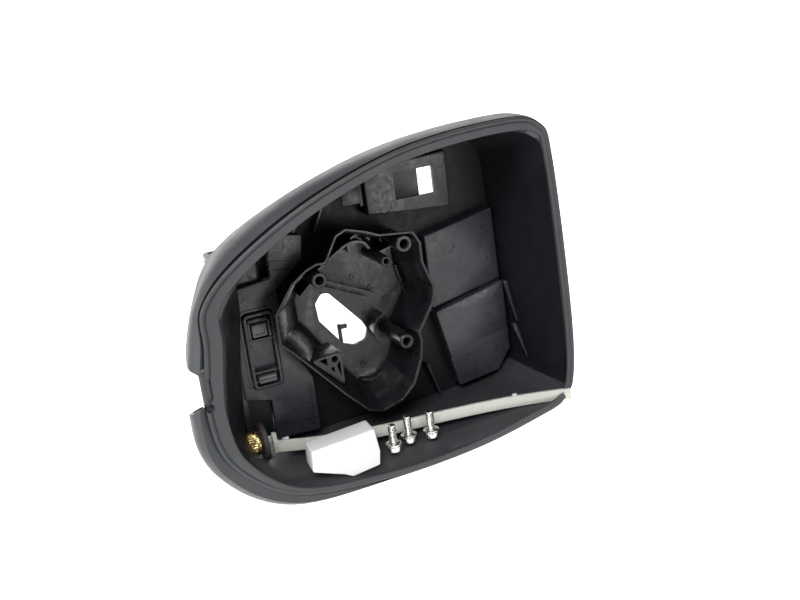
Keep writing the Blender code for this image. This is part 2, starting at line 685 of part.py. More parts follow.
def main():
    clear_scene()
    grain = finish("grained_black", (.035, .036, .038), .52)
    satin = finish("satin_black", (.05, .052, .055), .38)
    gloss = finish("gloss_black", (.014, .014, .016), .16)
    foot = pivot("door_foot", DOOR_FACE)
    head = pivot("fold_axis", (*FOLD_AXIS, 0))

    bezel = make_bezel_frame()
    combine(bezel, [notch_tool("notch_bezel"), strip_tool("strip_bezel"), lamp_tool("lamp_bezel")],
            "DIFFERENCE")
    dress([bezel, *make_skins()], grain, head)
    socket, *latches = make_socket()
    dress([make_back_panel(), make_inboard_carrier(), socket, make_cap_clip()], satin, head)
    dress([make_bracket(), make_cable_hook()], gloss, head)
    dress(latches, finish("latch_grey", (.16, .165, .17), .4), head)
    dress([make_light_guide()], finish("cream_guide", (.86, .86, .8), .35), head)
    dress([make_light_module()], finish("white_module", (.93, .93, .93), .4), head)
    sleeve, seal = make_lamp()
    dress([sleeve], finish("brass", (.6, .47, .22), .35, 1.0), head)
    dress([seal], finish("seal_rubber", (.05, .02, .02), .6), head)

    steel = finish("bright_steel", (.72, .72, .7), .22, 1.0)
    for number, (x, y, z) in enumerate(SCREWS, 1):
        stand = pivot(f"screw_stand_{number}", (x, y, z))
        stand.parent = head
        stand.location = place(x, y, z) - place(*FOLD_AXIS, 0)
        dress(make_screw(number, x, y, z), steel, stand)
    screws = [make_neck_screw(f"neck_screw_{i + 1}", x, z) for i, (x, z) in enumerate(NECK_SCREWS)]
    dress(screws, steel, head)

    alloy = finish("cast_alloy", (.42, .43, .44), .5, 1.0)
    dress([make_fold_housing(), make_fold_cap()], satin, head)
    shaft, lower_cam, upper_cam, spring, washer, nut = make_pivot()
    dress([upper_cam], steel, head)
    dress([shaft, lower_cam, spring, washer, nut], steel, foot)
    dress([make_foot()], alloy, foot)
    dress(make_inserts(), finish("insert_brass", (.62, .5, .25), .4, 1.0), foot)
    dress([make_gasket()], finish("gasket_rubber", (.03, .03, .03), .8), foot)


main()
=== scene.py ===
"""The finished look of an opened door mirror head, built round its fixed frame.

Lengths inside the functions are millimetres in head coordinates: X runs outboard, Y towards the
front of the car, Z up, from the middle of the rim's plane. place() turns them into the scene.
"""

import json
import math

import bmesh
import bpy
from bpy.props import FloatProperty, FloatVectorProperty, IntProperty, PointerProperty
from mathutils import Matrix, Vector

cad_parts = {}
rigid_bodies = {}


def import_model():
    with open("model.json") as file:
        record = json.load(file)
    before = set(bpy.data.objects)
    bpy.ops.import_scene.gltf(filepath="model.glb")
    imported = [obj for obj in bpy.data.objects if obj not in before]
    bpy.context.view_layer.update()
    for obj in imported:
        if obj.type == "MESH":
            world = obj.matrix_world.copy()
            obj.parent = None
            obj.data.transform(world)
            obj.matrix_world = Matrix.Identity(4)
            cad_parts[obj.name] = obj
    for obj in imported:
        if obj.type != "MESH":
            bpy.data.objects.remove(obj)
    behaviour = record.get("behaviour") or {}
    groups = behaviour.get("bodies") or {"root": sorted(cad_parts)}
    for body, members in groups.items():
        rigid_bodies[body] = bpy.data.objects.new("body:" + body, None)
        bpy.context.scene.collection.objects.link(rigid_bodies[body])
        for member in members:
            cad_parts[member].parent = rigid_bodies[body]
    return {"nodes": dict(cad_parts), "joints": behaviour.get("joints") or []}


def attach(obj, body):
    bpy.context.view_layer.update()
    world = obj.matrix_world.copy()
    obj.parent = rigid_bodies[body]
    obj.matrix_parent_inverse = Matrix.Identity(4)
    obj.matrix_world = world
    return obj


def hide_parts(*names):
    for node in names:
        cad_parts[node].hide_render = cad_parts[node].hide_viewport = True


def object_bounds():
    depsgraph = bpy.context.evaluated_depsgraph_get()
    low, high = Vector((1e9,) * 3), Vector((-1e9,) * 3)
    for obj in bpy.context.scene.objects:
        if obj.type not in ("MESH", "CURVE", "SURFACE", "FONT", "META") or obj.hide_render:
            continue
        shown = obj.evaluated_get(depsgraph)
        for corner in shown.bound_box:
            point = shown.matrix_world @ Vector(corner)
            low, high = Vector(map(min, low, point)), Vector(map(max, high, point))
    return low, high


bl_info = {
    "name": "Door Mirror Head",
    "version": (1, 0, 0),
    "blender": (4, 5, 0),
    "location": "View3D > Sidebar > Mirror",
    "description": "Builds an opened door mirror head piece by piece, with its finishes and stage",
    "category": "Add Mesh",
}

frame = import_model()
CAD_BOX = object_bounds()
MM = 0.001
FOLD = next(joint for joint in frame["joints"] if joint["name"] == "head_fold")
AXIS = (-79.0, 84.0)
HEAD = Vector(FOLD["pos_m"]) - Vector((*AXIS, -20)) * MM
DOOR = -HEAD / MM                        # the foot's face on the door, in head millimetres
GAP = 0.4
WALL = 2.4

RIM = [(-118, -2), (-115, 21.5), (-92, 43.7), (-45, 69.2), (14, 88.2), (77, 93.9), (103.5, 88),
       (110.5, 64), (115, -26), (113.7, -74), (106, -92), (85, -99.4), (41, -108.2), (-15, -111.5),
       (-79, -104.5), (-114, -76.5), (-123, -43)]
THROAT = [(-84, -4), (-81.5, 16), (-68, 37), (-34, 58), (14, 72.6), (72, 78), (90, 72), (97, 54),
          (99.5, -26), (101, -74), (94, -86), (80, -92), (40, -97), (-15, -97.5), (-74, -98.5),
          (-91, -83), (-91, -50)]
# Rings of the throat: depth, then the share of the way in at the inboard, outboard, top, low side.
THROAT_RINGS = [(3.2, (.37, .36, .52, .36)), (9, (.45, .42, .58, .80)), (17, (.56, .52, .63, .88)),
                (26, (.66, .62, .70, .95)), (45, (.86, .82, .86, 1))]
THROAT_DEPTH = (58, 73, 73, 73)
# Rings of the skin: depth by side, then how far outside the rim it is at each of the rim's points.
SKIN_RINGS = [((3, 3, 3, .9), (1.5, .6, 1.2, 1, .6, .3, .2, -.4, 0, .6, .6, .6, .3, .5, 5, 6.3, 4)),
              ((10, 10, 10, 9), (6.2, 2.2, 5, 4.6, 1.5, .8, 1, 0, .6, .8, 1, 1.2, 1.8, 3.5, 9.5, 10.5,
                                 7.8)),
              ((25, 25, 25, 24), (4.8, -1.2, 4.2, 3.4, -.2, .4, .8, -.4, .2, .4, 1.5, 2.5, 4, 6.5, 11,
                                  11, 7)),
              ((46, 46, 46, 45), (.8, -6.5, -1.4, -2.6, -5.2, -3.4, -3, -3, -2.8, -2.5, -.5, 1, 2.5,
                                  4.5, 6, 6, 4)),
              ((60, 74, 75, 72), (-4, -9, -6.5, -9, -9.8, -7.5, -5.5, -5, -5, -5, -3, -1, .5, 1.5,
                                  2, 1.5, 0)),
              ((66, 86, 84, 82), (-7, -12, -10, -12.5, -13, -10, -7, -7, -8, -8, -6, -4, -2.5,
                                  -1.5, -1, -2, -4))]
SPLIT_LEFT, SPLIT_RIGHT = (-126, -25), (115, -84)
NOTCH = [(-140, -11), (-127, -16), (-119, -19.5), (-119, -29.5), (-128, -34), (-140, -37)]
NOTCH_BACK = [(-126, -11), (-112, -14), (-103, -20), (-103, -58), (-113, -62), (-126, -65)]
PANEL = (74.0, 77.0)
BRACKET_NEAR, BRACKET_FAR = 40.0, 79.0
BRACKET = [(-31, 22), (-22, 37), (-14.5, 40), (-2, 36), (7, 32), (29.5, 29.5), (34, 21), (34, 8),
           (40, -10.5), (38, -20), (26, -38), (27, -44), (25, -56), (18, -72), (8, -81), (-6, -85),
           (-16, -82), (-31, -66), (-60, -31), (-67, -24), (-67, -4), (-54, 13), (-43.5, 20),
           (-36, 22.5)]
WIRE_HOLE = [(-31, -14), (-26, -8), (-21, -9), (-1, -33), (2, -39), (0, -46), (-8, -48),
             (-16, -45), (-30, -26)]
BOSSES = [(-35.8, 11.3, 5.0, 2.3, 62), (22, 22.4, 5.4, 2.6, 66), (8.9, 13.8, 3.4, 1.5, 77.4),
          (15.5, -41.2, 4.9, 2.3, 77.4)]
STRIP_ROUTE = [(-78.5, 45), (-50, 33), (-12, 24.5), (28, 20.5), (65, 14.5), (92, 7), (109.5, .6)]
STRIP_LOW, STRIP_HIGH, STRIP_THICK = -93.5, -86.0, 2.4
SCREWS = [(-13, 9.5, -98.6), (-.7, 14.5, -98), (14, 12.5, -98)]
HOUSING = (-94, -64, 67.5, 99, -51, 26)
FLANGE = (-106, 97, -52, 152)
INSERT_CIRCLE = 21.0                     # radius of the circle that the inserts stand on
LAMP_CENTRE = (0, 45, -84)
KNURL_DEPTH, KNURL_RIDGES = .22, 30
FOOT_RADIUS = 15.3
CAMERA_TURN = (-20, 17, 7.5)             # degrees: azimuth, elevation and roll
CAMERA_DISTANCE, CAMERA_LENS = .590, 45


# ---------------------------------------------------------------- what a user may change

class MirrorSizes(bpy.types.PropertyGroup):
    span_steps: IntProperty(name="Rim steps", default=10, min=4, max=24,
                            description="Points on each span of the rim's curve")
    edge: FloatProperty(name="Moulded edge", default=.5 * MM, unit="LENGTH",
                        description="Radius on the edges of the moulded pieces")
    bead: FloatProperty(name="Rim bead", default=2.7 * MM, unit="LENGTH",
                        description="Width of the rounded bead round the rim")
    thread_pitch: FloatProperty(name="Thread pitch", default=.8 * MM, unit="LENGTH",
                                description="Distance between the threads of the loose screws")
    floor_drop: FloatProperty(name="Floor below", default=.5, unit="LENGTH",
                              description="How far under the mirror the stage's floor lies")


def colour_property(name, default, description):
    return FloatVectorProperty(name=name, subtype="COLOR", size=3, min=0, max=1, default=default,
                               description=description)


class MirrorColours(bpy.types.PropertyGroup):
    grained: colour_property("Rim and skins", (.026, .028, .031), "Fine grained black moulding")
    satin: colour_property("Panels", (.016, .018, .022), "Satin black inner mouldings")
    gloss: colour_property("Bracket", (.007, .0075, .009), "Glossy black bracket")
    latch: colour_property("Latches", (.10, .103, .11), "Grey latches and tabs")
    guide: colour_property("Light strip", (.45, .45, .41), "Cream light guide")
    module: colour_property("Module", (.60, .60, .60), "White module")
    brass: colour_property("Brass", (.60, .47, .20), "Lamp sleeve and inserts")
    steel: colour_property("Steel", (.78, .78, .75), "Bright plated fasteners")
    alloy: colour_property("Alloy", (.40, .41, .42), "Cast foot")
    rubber: colour_property("Rubber", (.035, .025, .028), "Seals and gasket")


def sizes():
    return bpy.context.scene.mirror_sizes


def colours():
    return bpy.context.scene.mirror_colours


def place(x, y, z):
    """A point in head millimetres as a point in the scene."""
    return HEAD + Vector((x, y, z)) * MM


# ---------------------------------------------------------------- finishes

def wire(tree, source, output, target, socket):
    tree.links.new(source.outputs[output], target.inputs[socket])


def noise(tree, where, scale, detail=3.0, distortion=0.0):
    node = tree.nodes.new("ShaderNodeTexNoise")
    node.inputs["Scale"].default_value = scale
    node.inputs["Detail"].default_value = detail
    node.inputs["Distortion"].default_value = distortion
    wire(tree, where, 0, node, "Vector")
    return node


def surface(name, colour, roughness, metallic=0.0, grain=(2400, .1), blotch=(60, .12), spread=.1,
            shine=.5, flow=0.0, coat=0.0):
    """A material whose colour, roughness and surface all vary as a moulded or plated one's do."""
    found = bpy.data.materials.get(name)
    if found:
        return found
    material = bpy.data.materials.new(name)
    material.use_nodes = True
    tree = material.node_tree
    shader = tree.nodes["Principled BSDF"]
    shader.inputs["Metallic"].default_value = metallic
    shader.inputs["Specular IOR Level"].default_value = shine
    shader.inputs["Coat Weight"].default_value = coat
    shader.inputs["Coat Roughness"].default_value = .08
    spot = tree.nodes.new("ShaderNodeTexCoord")
    scaled = tree.nodes.new("ShaderNodeMapping")
    wire(tree, spot, "Object", scaled, "Vector")

    patches = noise(tree, scaled, blotch[0], 4, flow)
    ramp = tree.nodes.new("ShaderNodeValToRGB")
    low, high = ramp.color_ramp.elements
    low.position, high.position = .3, .7
    low.color = (*[value * (1 - blotch[1]) for value in colour], 1)
    high.color = (*[min(value * (1 + blotch[1]), 1) for value in colour], 1)
    wire(tree, patches, "Fac", ramp, "Fac")
    wire(tree, ramp, "Color", shader, "Base Color")

    smear = noise(tree, scaled, blotch[0] * 2.3, 5, flow * 1.5)
    reach = tree.nodes.new("ShaderNodeMapRange")
    reach.inputs["From Min"].default_value, reach.inputs["From Max"].default_value = .3, .7
    reach.inputs["To Min"].default_value = max(roughness - spread, .02)
    reach.inputs["To Max"].default_value = roughness + spread
    wire(tree, smear, "Fac", reach, "Value")
    wire(tree, reach, "Result", shader, "Roughness")

    fine = noise(tree, scaled, grain[0], 2)
    bump = tree.nodes.new("ShaderNodeBump")
    bump.inputs["Strength"].default_value = grain[1]
    bump.inputs["Distance"].default_value = .0003
    wire(tree, fine, "Fac", bump, "Height")
    wire(tree, bump, "Normal", shader, "Normal")
    return material


def grained_black():
    return surface("Grained black moulding", colours().grained, .46, grain=(1500, .22),
                   blotch=(35, .10), spread=.05)


def satin_black():
    return surface("Satin black moulding", colours().satin, .34, grain=(900, .04),
                   blotch=(70, .22), spread=.10, flow=1.2)


# A darker, less shiny copy of the satin black: painted shade for the deep inside of the head.
def painted_shade_black():
    return surface("Painted shade black moulding", [value * .45 for value in colours().satin], .42,
                   grain=(900, .05), blotch=(50, .2), spread=.08, shine=.22, flow=1)


def shade_deeper(thing, depth):
    """Gives a piece's faces beyond a depth, but not its floor, a darker black: painted shade on the
    inside.
    """
    thing.data.materials.append(painted_shade_black())
    for face in thing.data.polygons:
        if face.center.y > place(0, depth, 0).y and face.normal.z < .5:
            face.material_index = 1


def gloss_black():
    return surface("Glossy black moulding", colours().gloss, .30, grain=(120, .012),
                   blotch=(28, .4), spread=.12, shine=.38, flow=2.5, coat=.08)


def latch_grey():
    return surface("Latch grey", colours().latch, .38, grain=(1200, .05), blotch=(120, .1))


def cream_guide():
    return surface("Cream light guide", colours().guide, .28, grain=(500, .03), blotch=(40, .05),
                   spread=.06, coat=.3)


def white_module():
    return surface("White moulding", colours().module, .42, grain=(1600, .04), blotch=(30, .03),
                   spread=.05)


def plain_brass():
    return surface("Turned brass", colours().brass, .30, 1, grain=(1800, .08), blotch=(300, .12))


def dark_rubber():
    return surface("Dark rubber", colours().rubber, .62, grain=(1300, .2), blotch=(150, .25))


def bright_steel():
    return surface("Bright plated steel", colours().steel, .24, 1, grain=(2200, .08),
                   blotch=(260, .10), spread=.10)


def cast_alloy():
    return surface("Cast alloy", colours().alloy, .48, 1, grain=(700, .3), blotch=(90, .15))


# ---------------------------------------------------------------- making solids

def add_mesh(name, form):
    """A new object from a bmesh, with its faces turned outwards."""
    bmesh.ops.recalc_face_normals(form, faces=form.faces)
    mesh = bpy.data.meshes.new(name)
    form.to_mesh(mesh)
    form.free()
    thing = bpy.data.objects.new(name, mesh)
    bpy.context.scene.collection.objects.link(thing)
    return thing


def spline(points, steps, closed=True):
    """A smooth curve through the points, with the same number of steps on every span."""
    count = len(points)
    line = []
    for i in range(count if closed else count - 1):
        if closed:
            four = [Vector(points[(i + k) % count]) for k in (-1, 0, 1, 2)]
        else:
            four = [Vector(points[min(max(i + k, 0), count - 1)]) for k in (-1, 0, 1, 2)]
        for step in range(steps):
            t = step / steps
            line.append(0.5 * (2 * four[1] + (four[2] - four[0]) * t
                               + (2 * four[0] - 5 * four[1] + 4 * four[2] - four[3]) * t * t
                               + (3 * four[1] - four[0] - 3 * four[2] + four[3]) * t ** 3))
    if not closed:
        line.append(Vector(points[-1]))
    return line


def rounded(corners, radius, steps=6):
    """A polygon with each corner turned into an arc, as large as its two sides allow."""
    points = []
    count = len(corners)
    for i in range(count):
        before, corner, after = (Vector(corners[(i + k) % count]) for k in (-1, 0, 1))
        into, out = (corner - before), (after - corner)
        half = into.angle(out) / 2
        reach = min(radius * math.tan(half), into.length * 0.45, out.length * 0.45)
        start = corner - into.normalized() * reach
        end = corner + out.normalized() * reach
        for step in range(steps + 1):
            t = step / steps
            points.append(start.lerp(corner, t).lerp(corner.lerp(end, t), t))
    return points


def offset(points, distance):
    """Moves a closed outline outwards by a distance; a negative one moves it inwards."""
    count = len(points)
    area = sum(points[i - 1][0] * points[i][1] - points[i][0] * points[i - 1][1]
               for i in range(count))
    side = 1 if area > 0 else -1
    moved = []
    for i in range(count):
        before, here, after = (Vector(points[(i + k) % count]) for k in (-1, 0, 1))
        normals = [Vector((run[1], -run[0])).normalized() * side
                   for run in (here - before, after - here)]
        middle = (normals[0] + normals[1]).normalized()
        moved.append(here + middle * distance / max(middle.dot(normals[0]), 0.5))
    return moved


def loft(name, rings, closed_section):
    """A solid through rings of equally many points: a closed tube, or one with two caps."""
    form = bmesh.new()
    loops = [[form.verts.new(place(*point)) for point in ring] for ring in rings]
    pairs = list(zip(loops, loops[1:] + loops[:1] if closed_section else loops[1:]))
    for one, two in pairs:
        for i in range(len(one)):
            form.faces.new((one[i - 1], one[i], two[i], two[i - 1]))
    if not closed_section:
        form.faces.new(loops[0])
        form.faces.new(loops[-1])
    return add_mesh(name, form)


def settle(thing):
    """Makes the piece's modifiers part of its mesh."""
    bpy.context.view_layer.update()
    graph = bpy.context.evaluated_depsgraph_get()
    mesh = bpy.data.meshes.new_from_object(thing.evaluated_get(graph))
    thing.modifiers.clear()
    thing.data = mesh
    return thing


def remove(things):
    for thing in things:
        bpy.data.objects.remove(thing, do_unlink=True)


def combine(target, others, operation):
    """Joins or cuts a solid with others, which are then gone."""
    for other in others:
        step = target.modifiers.new(operation, "BOOLEAN")
        step.operation = operation
        step.solver = "EXACT"
        step.object = other
    settle(target)
    remove(others)
    return target


def soften(thing, radius=None, segments=3, angle=32):
    """Rounds the edges of a solid."""
    step = thing.modifiers.new("edge", "BEVEL")
    step.width = sizes().edge if radius is None else radius * MM
    step.segments = segments
    step.limit_method = "ANGLE"
    step.angle_limit = math.radians(angle)
    step.use_clamp_overlap = True
    step.harden_normals = False
    return settle(thing)


def level(plane, a, b, along):
    """A point of a flat outline at a level across its plane."""
    return {"XZ": (a, along, b), "XY": (a, b, along), "YZ": (along, a, b)}[plane]


def plate(name, outline, low, high, plane="XZ", holes=()):
    """A flat outline between two levels across a plane, with holes cut through it."""
    solid = loft(name, [[level(plane, a, b, along) for a, b in outline] for along in (low, high)],
                 False)
    if holes:
        tools = [plate("hole", hole, low - 1, high + 1, plane) for hole in holes]
        combine(solid, tools, "DIFFERENCE")
    return solid


def block(name, low, high, radius=0.0):
    """An upright box between two corners, with its edges rounded."""
    corners = rectangle(low[0], low[1], high[0], high[1])
    solid = plate(name, corners, low[2], high[2], "XY")
    return soften(solid, radius, 2) if radius else solid


def rectangle(low_a, low_b, high_a, high_b):
    return [(low_a, low_b), (high_a, low_b), (high_a, high_b), (low_a, high_b)]


def turned(name, profile, centre, axis="Z", steps=40, ripple=None):
    """Turns a section of (radius, height) about an axis; ripple(turn, height) adds to the radius."""
    solid = profile[0][0] == 0
    rings = []
    for radius, height in (profile[1:-1] if solid else profile):
        ring = []
        for k in range(steps):
            turn = math.tau * k / steps
            reach = radius + (ripple(turn, height) if ripple else 0)
            a, b = reach * math.cos(turn), reach * math.sin(turn)
            ring.append({"Z": (centre[0] + a, centre[1] + b, centre[2] + height),
                         "Y": (centre[0] + a, centre[1] + height, centre[2] + b),
                         "X": (centre[0] + height, centre[1] + a, centre[2] + b)}[axis])
        rings.append(ring)
    return loft(name, rings, not solid)


def rod(name, radius, low, high, centre, axis="Z", steps=36):
    return turned(name, [(0, high), (radius, high), (radius, low), (0, low)], centre, axis, steps)


def bar(name, route, width, low, high):
    """An upright rib along a route in the XZ plane."""
    left, right = [], []
    points = [Vector(point) for point in route]
    for i, point in enumerate(points):
        along = points[min(i + 1, len(points) - 1)] - points[max(i - 1, 0)]
        side = Vector((-along.y, along.x)).normalized() * width / 2
        left.append(point + side)
        right.append(point - side)
    return plate(name, left + right[::-1], low, high)


def arc(x, z, radius, start, end, steps=24):
    """Points on part of a circle, from one angle in degrees to another."""
    turns = [math.radians(start + (end - start) * k / steps) for k in range(steps + 1)]
    return [(x + radius * math.cos(turn), z + radius * math.sin(turn)) for turn in turns]


def dress(thing, material, body, nodes, angle=38):
    """Finishes a piece: its shading, material, body and the frame's nodes it stands for."""
    thing.data.materials.clear()
    thing.data.materials.append(material)
    thing.data.shade_smooth()
    thing.data.set_sharp_from_angle(angle=math.radians(angle))
    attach(thing, body)
    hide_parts(*nodes)
    return thing


def refine(node, material, body, radius=.4):
    """A smoother copy of one of the frame's own solids, with rounded edges."""
    form = bmesh.new()
    form.from_mesh(frame["nodes"][node].data)
    bmesh.ops.remove_doubles(form, verts=form.verts, dist=0.000001)
    bmesh.ops.dissolve_limit(form, angle_limit=math.radians(1), verts=form.verts,
                             edges=form.edges)
    thing = add_mesh(node + "_finished", form)
    return dress(soften(thing, radius, 2), material, body, [node])


def keep(node, material):
    """Gives one of the frame's own solids a finish where it stands."""
    solid = frame["nodes"][node]
    if not solid.material_slots:
        solid.data.materials.append(material)
    for slot in solid.material_slots:
        slot.material = material


# ---------------------------------------------------------------- the head's walls

def rim_samples():
    """Points of the rim and throat, with the rim's outward normal as shares of its four sides."""
    rim, throat = spline(RIM, sizes().span_steps), spline(THROAT, sizes().span_steps)
    samples = []
    for i, point in enumerate(rim):
        along = rim[(i + 1) % len(rim)] - rim[i - 1]
        normal = Vector((-along.y, along.x)).normalized()
        shares = [max(part, 0) ** 2 for part in (-normal.x, normal.x, normal.y, -normal.y)]
        samples.append((point, throat[i], normal, shares))
    return samples


def by_side(values, shares):
    if not isinstance(values, (tuple, list)):
        return values
    return sum(value * share for value, share in zip(values, shares))


def offset_ring(depths, outsets):
    """A ring at a distance outside the rim; each may be set for each of the four sides."""
    points = []
    for rim, _, normal, shares in rim_samples():
        spot = rim + normal * by_side(outsets, shares)
        points.append((spot.x, by_side(depths, shares), spot.y))
    return points


def throat_ring(depths, fractions, outset=0.0):
    """A ring part of the way from the rim to the throat's end."""
    points = []
    for rim, throat, normal, shares in rim_samples():
        spot = rim.lerp(throat, by_side(fractions, shares)) + normal * outset
        points.append((spot.x, by_side(depths, shares), spot.y))
    return points


def notch_tool():
    rings = [[(x, depth, z) for x, z in rounded(corners, 3)]
             for corners, depth in ((NOTCH, -6), (NOTCH_BACK, 75))]
    return loft("notch", rings, False)


def notch_pocket():
    """The small round pocket in the shoulder under the notch."""
    return soften(rod("pocket", 2.7, -2, 6, (-120.6, 0, -36.4), "Y", 24), .5, 2)


def rim_face():
    """Rings of the rim from its back edge over the bead and groove to the face's inner edge."""
    bead = sizes().bead / MM
    face = (11, 5.2, 8.0, 4.6)
    inner = [-value for value in face]
    groove = (1.2, 1.2, 1.2, .25)
    flat = (.7, .7, .7, .25)
    rings = [(3.4, -1.2), (2.4, -.35), (1.5, -.15), (.8, -.3), (.3, -.75), (.1, -bead * .45),
             (.15, -bead * .7), ((.5, .5, .5, .18), -bead * .92), ((.9, .9, .9, .2), -bead),
             (groove, -bead - .3), (groove, -bead - .6), (flat, -bead - .9),
             (flat, [value + .9 for value in inner]),
             ((.85, .8, .8, .3), [value + .4 for value in inner]),
             ((1.4, 1.3, 1.3, .7), inner), ((2.2, 2.1, 2.1, 1.6), [value - .15 for value in inner])]
    return [offset_ring(depth, outset) for depth, outset in rings]


def build_rim():
    inside = [throat_ring(depth, parts) for depth, parts in THROAT_RINGS]
    end = [throat_ring(THROAT_DEPTH, 1), throat_ring(THROAT_DEPTH, 1, WALL)]
    outside = [throat_ring(depth + 1, parts, WALL) for depth, parts in reversed(THROAT_RINGS[2:])]
    back = [throat_ring(6.5, (.40, .38, .45, .50), WALL), offset_ring(4.4, (-3.5, -3, -3, -2.5))]
    rim = loft("rim_moulding", rim_face() + inside + end + outside + back, True)
    channel = strip_outline(STRIP_THICK + 1.6)
    half = len(channel) // 2
    middle = half // 2
    corners = channel[middle:half] + [(118, 1.6), (118, -5), (106, -5)] + channel[half:-middle]
    tools = [notch_tool(), plate("channel", corners, STRIP_LOW - .8, STRIP_HIGH + .8, "XY"),
             rod("lamp_room", 12.2, -112, -80, LAMP_CENTRE, "X")]
    combine(rim, tools, "DIFFERENCE")
    wall = block("notch_wall", (-123, 2.6, -40), (-116.5, 9, -13), 2.0)
    combine(rim, [wall], "UNION")
    combine(rim, [notch_pocket()], "DIFFERENCE")
    dress(rim, grained_black(), "head", ["bezel_frame"], 50)
    # Painted shade: the rim's faces deeper than 6 mm take the darker black.
    shade_deeper(rim, 6)
    for number, (z_low, z_high, y_low, y_high) in enumerate(((-50, -23, 50, 62), (-73, -52, 40, 54))):
        fin = loft(f"throat_fin_{number + 1}",
                   [[(100.2, y_high, z_high), (97.4, y_high, z_high), (97.4, y_high - 4, z_high),
                     (100.2, y_high - 4, z_high)],
                    [(100.8, y_low, z_low), (99.9, y_low, z_low), (99.9, y_low - 1, z_low),
                     (100.8, y_low - 1, z_low)]], False)
        dress(soften(fin, .2, 2), satin_black(), "head", [])


def skin_ring(depths, outsets, thickness=0.0):
    along = spline([(value, 0) for value in outsets], sizes().span_steps)
    points = []
    for (rim, _, normal, shares), outset in zip(rim_samples(), along):
        spot = rim + normal * (outset.x - thickness)
        points.append((spot.x, by_side(depths, shares), spot.y))
    return points


def between(rings, steps):
    """More rings between the given ones, on smooth curves through them."""
    columns = [spline([ring[i] for ring in rings], steps, closed=False)
               for i in range(len(rings[0]))]
    return [[tuple(column[k]) for column in columns] for k in range(len(columns[0]))]


def skin(name):
    outer = between([skin_ring(depths, outsets) for depths, outsets in SKIN_RINGS], 4)
    inner = between([skin_ring(depths, outsets, WALL) for depths, outsets in
                     reversed(SKIN_RINGS[1:])], 2)
    first_depths, first_outsets = SKIN_RINGS[0]
    lip = [offset_ring(6.4, (-1.2, -1.2, -1.2, .4)),
           offset_ring((4.6, 4.6, 4.6, 1.3), (-1.1, -1.1, -1.1, .35)),
           skin_ring([value + .1 for value in first_depths], [value - .5 for value in first_outsets])]
    return loft(name, outer + inner + lip, True)


def side_of_split(above):
    """A large block on one side of the parting line of the skins."""
    left, right = Vector(SPLIT_LEFT), Vector(SPLIT_RIGHT)
    along = (right - left).normalized()
    up = Vector((-along.y, along.x)) * (1 if above else -1)
    base = [left - along * 60 + up * GAP / 2, right + along * 60 + up * GAP / 2]
    return plate("split", base + [base[1] + up * 300, base[0] + up * 300], -30, 130)


def build_skins():
    upper = combine(skin("upper_skin"), [side_of_split(True)], "INTERSECT")
    room = block("room", (-130, 65.5, -120), (-62, 120, 42))
    combine(upper, [notch_tool(), room], "DIFFERENCE")
    dress(upper, grained_black(), "head", ["upper_shell"], 50)
    lower = combine(skin("lower_skin"), [side_of_split(False)], "INTERSECT")
    channel = plate("channel", strip_outline(STRIP_THICK + 1.6), STRIP_LOW - .8, STRIP_HIGH + .8,
                    "XY")
    combine(lower, [notch_tool(), channel, notch_pocket()], "DIFFERENCE")
    dress(lower, grained_black(), "head", ["lower_shell"], 50)


def tray(name, outline, near, far, wall=WALL, edge=.9, hole=None):
    """A flat front with rounded edges and a wall round it that runs back."""
    solid = soften(plate(name, rounded(outline, 1.4, 3), near, far), edge, 3, 40)
    inside = plate("inside", offset(outline, -wall), near + wall, far + 5)
    tools = [inside] + ([plate("window", hole, near - 3, far + 3)] if hole else [])
    return combine(solid, tools, "DIFFERENCE")


def ejector_mark(x, z, face, radius=4.4):
    """A shallow round recess with a rim, as an ejector pin leaves."""
    return turned("mark", [(0, .5), (radius, .5), (radius + .2, -1), (0, -1)], (x, face, z), "Y")


def build_panel():
    near, far = PANEL
    edge = [(x, z) for x, _, z in throat_ring(0, 1, 2.6)]
    kept = [(x, z) for x, z in edge if x > -63.3 or z > 34.6]
    edge = kept + [(-63.3, kept[-1][1]), (-63.3, 34.6)]
    opening = offset(rounded(bracket_at(near), 3, 3), .8)
    top = [(8, 40), (65, 36), (66, 72.4), (8, 69.4)]
    upper = [(45.5, 18), (96.5, 28), (97.5, -22), (45.5, -32.5)]
    lower = [(46, -34), (97.5, -22.5), (98.5, -72), (88, -86), (58, -90)]
    window = rectangle(44.8, 46.5, 55, 64)
    backs = [offset(outline, -WALL - .8) for outline in (top, upper, lower)]
    panel = plate("rear_panel", edge, near, far, holes=[opening, *backs])
    ribs = [bar("rib", route, 1.2, 66, near + 1) for route in
            ([(-27, 36), (-17, 55)], [(38, -71), (46, -98)], [(40, -33.2), (47, -34)],
             [(-45, 34), (-30, 50)], [(-8, 66), (8, 68)])]
    solids = [tray("top", top, 60, near + 1, hole=window), tray("upper", upper, 64, near + 1),
              tray("lower", lower, 60, near + 1), *ribs]
    combine(panel, solids, "UNION")
    recess = soften(plate("recess", rectangle(28, 46.5, 46, 64), 58, 61), .5, 2)
    step = plate("step", [(40, -92), (102, -92), (102, -56), (62, -62), (55, -66)], 58, 60.9)
    marks = [ejector_mark(x, z, face) for x, z, face in
             ((62, 8, 64), (86, -4, 64), (84, -40, 60), (20, 44, 60), (60, 66, 60))]
    combine(panel, [recess, step, *marks], "DIFFERENCE")
    dress(panel, satin_black(), "head", ["back_panel"])
    # Painted shade: the panel's faces beyond a depth of 69 mm take the darker black.
    shade_deeper(panel, near - 5)


